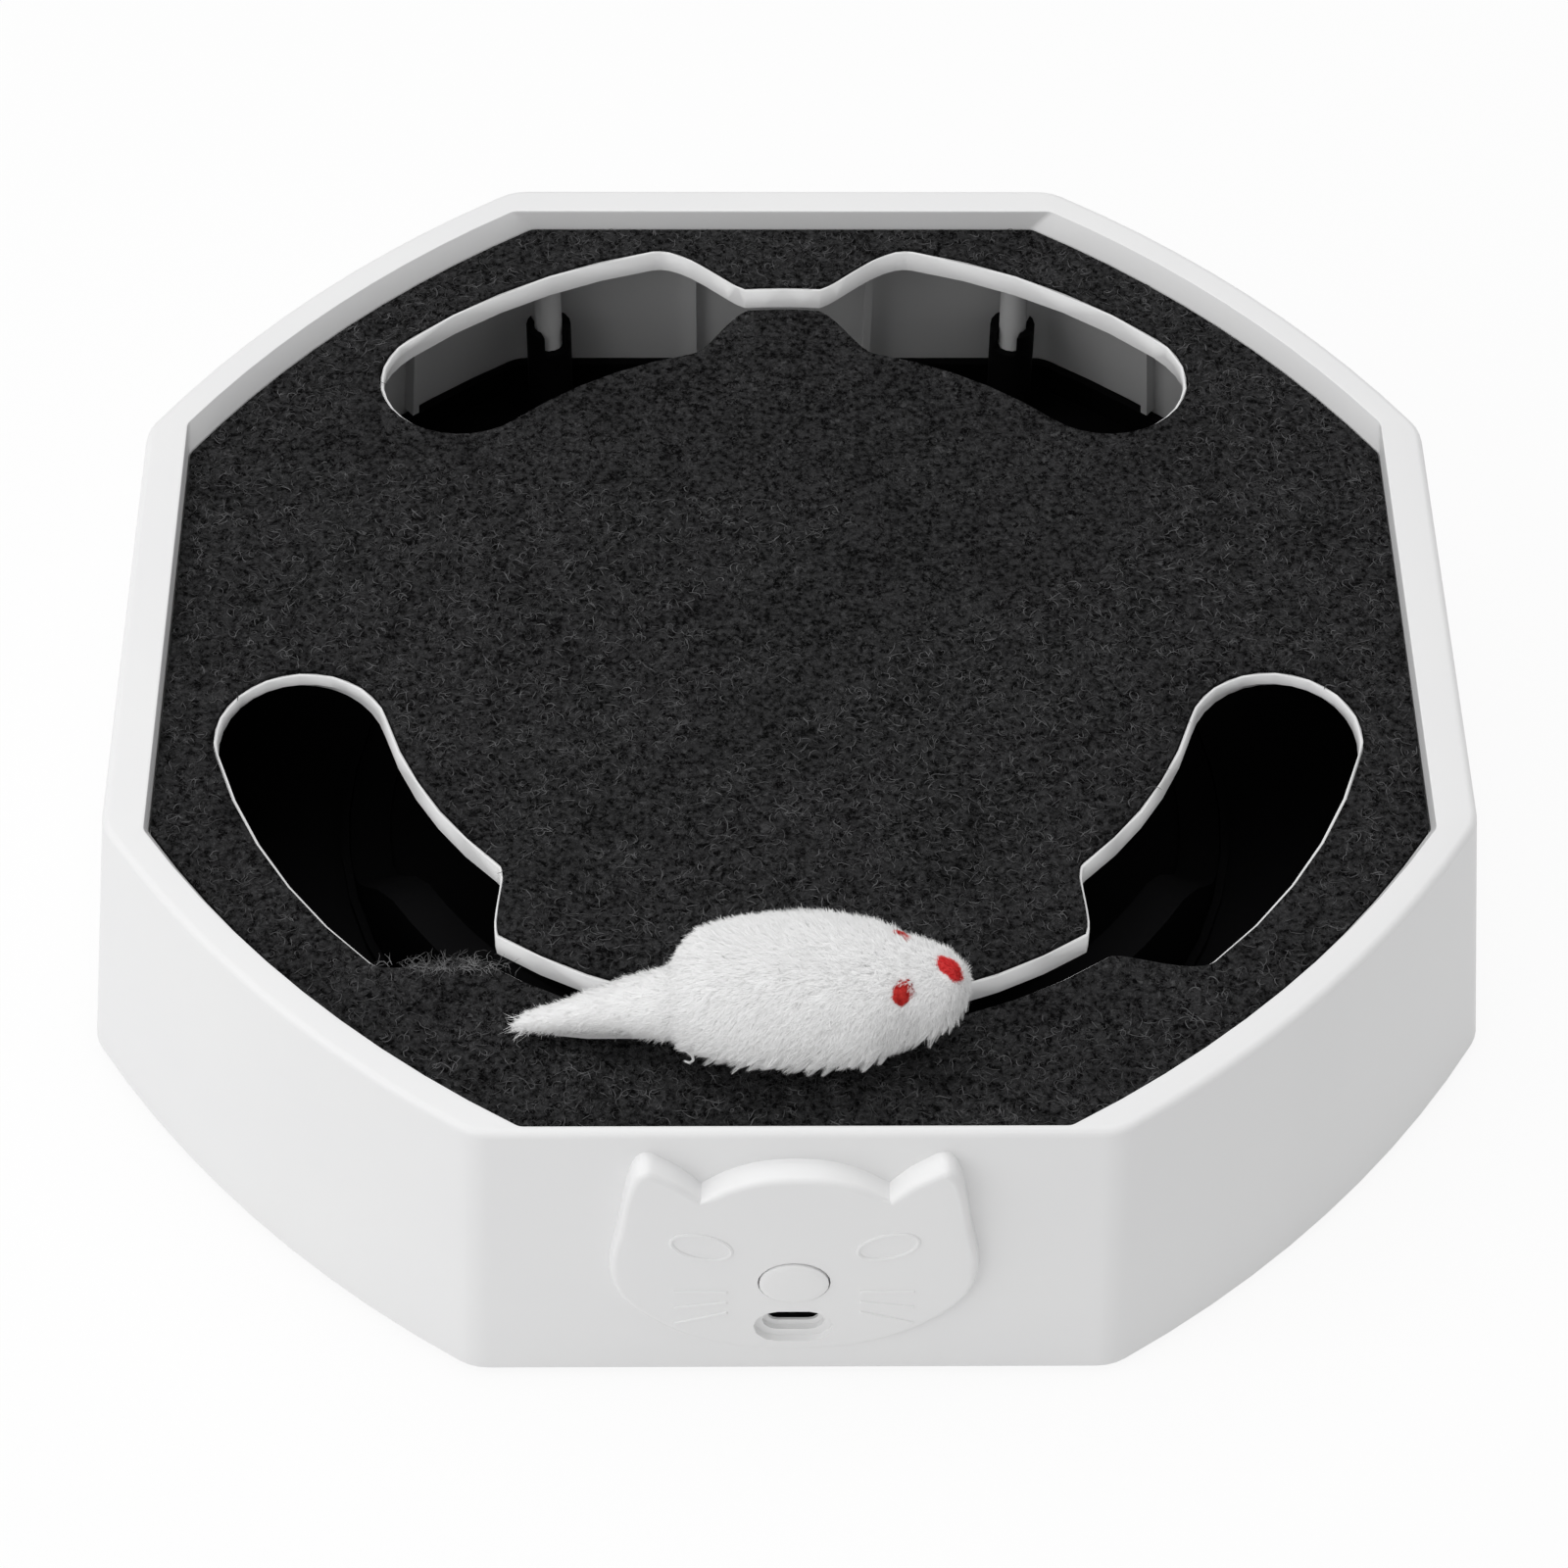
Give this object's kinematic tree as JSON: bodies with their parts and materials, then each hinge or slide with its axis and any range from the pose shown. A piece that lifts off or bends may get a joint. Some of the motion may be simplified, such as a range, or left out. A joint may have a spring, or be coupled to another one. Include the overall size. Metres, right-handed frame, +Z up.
{
  "type": "automatic mouse chase cat toy",
  "caption": "Low octagonal box with a felt top, lobed openings joined by slots, and a plush mouse on a hidden motor-driven arm.",
  "frame": {"origin": "on the floor under the feet, at the centre of the box and on the rotor's axis", "axes": "+Z up, -Y towards the wall with the cat's face and the charging socket, +X the way the mouse faces"},
  "size_m": [0.27, 0.265, 0.0806],
  "materials": {
    "white_shell": "satin, moulded",
    "black_plastic": "fine matt texture",
    "felt": "needle felt, charcoal with pale fibres",
    "plush": "short white plush",
    "red_trim": "small embroidered spots",
    "steel": "bright zinc or ground",
    "brass": "turned",
    "gear_plastic": "natural acetal",
    "board_green": "solder mask",
    "battery_wrap": "shrink wrap",
    "red_lead": "insulation",
    "rubber": "matt"
  },
  "bodies": {
    "housing": {"upper_shell": "white_shell", "felt_pad": "felt", "base_tray": "black_plastic", "usb_socket": "steel", "cam_track": "black_plastic", "spindle": "steel", "thrust_washer": "steel", "spindle_clip": "steel", "idler_axle": "steel", "motor_can": "steel", "motor_gearbox": "brass", "motor_bracket": "black_plastic", "bracket_screw_1": "steel", "bracket_screw_2": "steel", "battery_pack": "battery_wrap", "circuit_board": "board_green", "board_screw_1": "steel", "board_screw_2": "steel", "switch_body": "black_plastic", "motor_lead": "black_plastic", "battery_lead": "red_lead", "case_screw_1": "steel", "case_screw_2": "steel", "case_screw_3": "steel", "case_screw_4": "steel", "case_screw_5": "steel", "case_screw_6": "steel", "case_screw_7": "steel", "case_screw_8": "steel", "foot_1": "rubber", "foot_2": "rubber", "foot_3": "rubber", "foot_4": "rubber"},
    "turning_rotor": {"rotor": "black_plastic", "rotor_gear": "gear_plastic", "rotor_bush": "brass", "arm_pin": "steel"},
    "lifting_arm": {"mouse_arm": "black_plastic", "roller_axle": "steel", "mouse_stem": "white_shell", "mouse_carrier": "white_shell", "mouse_body": "plush", "mouse_head": "plush", "mouse_tail": "plush", "mouse_eye_near": "red_trim", "mouse_eye_far": "red_trim", "mouse_nose": "red_trim"},
    "roller": {"cam_roller": "gear_plastic"},
    "idler": {"idler_gear": "gear_plastic"},
    "pinion": {"motor_pinion": "brass"},
    "nose": {"nose_button": "white_shell"},
    "plunger": {"switch_plunger": "steel"}
  },
  "joints": [
    {"name": "mouse_run", "type": "hinge", "parent": "housing", "child": "turning_rotor", "pos_m": [0, 0, 0.0116], "axis": [0, 0, 1], "range_deg": [-52, 52]},
    {"name": "arm_lift", "type": "hinge", "parent": "turning_rotor", "child": "lifting_arm", "pos_m": [0, 0.016, 0.04], "axis": [-1, 0, 0], "range_deg": [0, 2]},
    {"name": "roller_spin", "type": "hinge", "parent": "lifting_arm", "child": "roller", "pos_m": [0, -0.084, 0.0385], "axis": [0, 1, 0], "range_deg": [-640, 640]},
    {"name": "idler_spin", "type": "hinge", "parent": "housing", "child": "idler", "pos_m": [0, 0.0375, 0.0067], "axis": [0, 0, 1], "range_deg": [-220, 220]},
    {"name": "pinion_spin", "type": "hinge", "parent": "housing", "child": "pinion", "pos_m": [0, 0.065, 0.0067], "axis": [0, 0, 1], "range_deg": [-570, 570]},
    {"name": "nose_press", "type": "slide", "parent": "housing", "child": "nose", "axis": [0, 1, 0], "range_m": [0, 0.0006], "stiffness_N_per_m": 400, "springref_m": -0.0004},
    {"name": "plunger_press", "type": "slide", "parent": "housing", "child": "plunger", "axis": [0, 1, 0], "range_m": [0, 0.0006], "stiffness_N_per_m": 100, "springref_m": -0.0004}
  ],
  "couplings": [
    {"joint": "roller_spin", "follows": "mouse_run", "ratio": 12},
    {"joint": "idler_spin", "follows": "mouse_run", "ratio": -4},
    {"joint": "pinion_spin", "follows": "mouse_run", "ratio": 10.667},
    {"joint": "plunger_press", "follows": "nose_press", "ratio": 1}
  ]
}
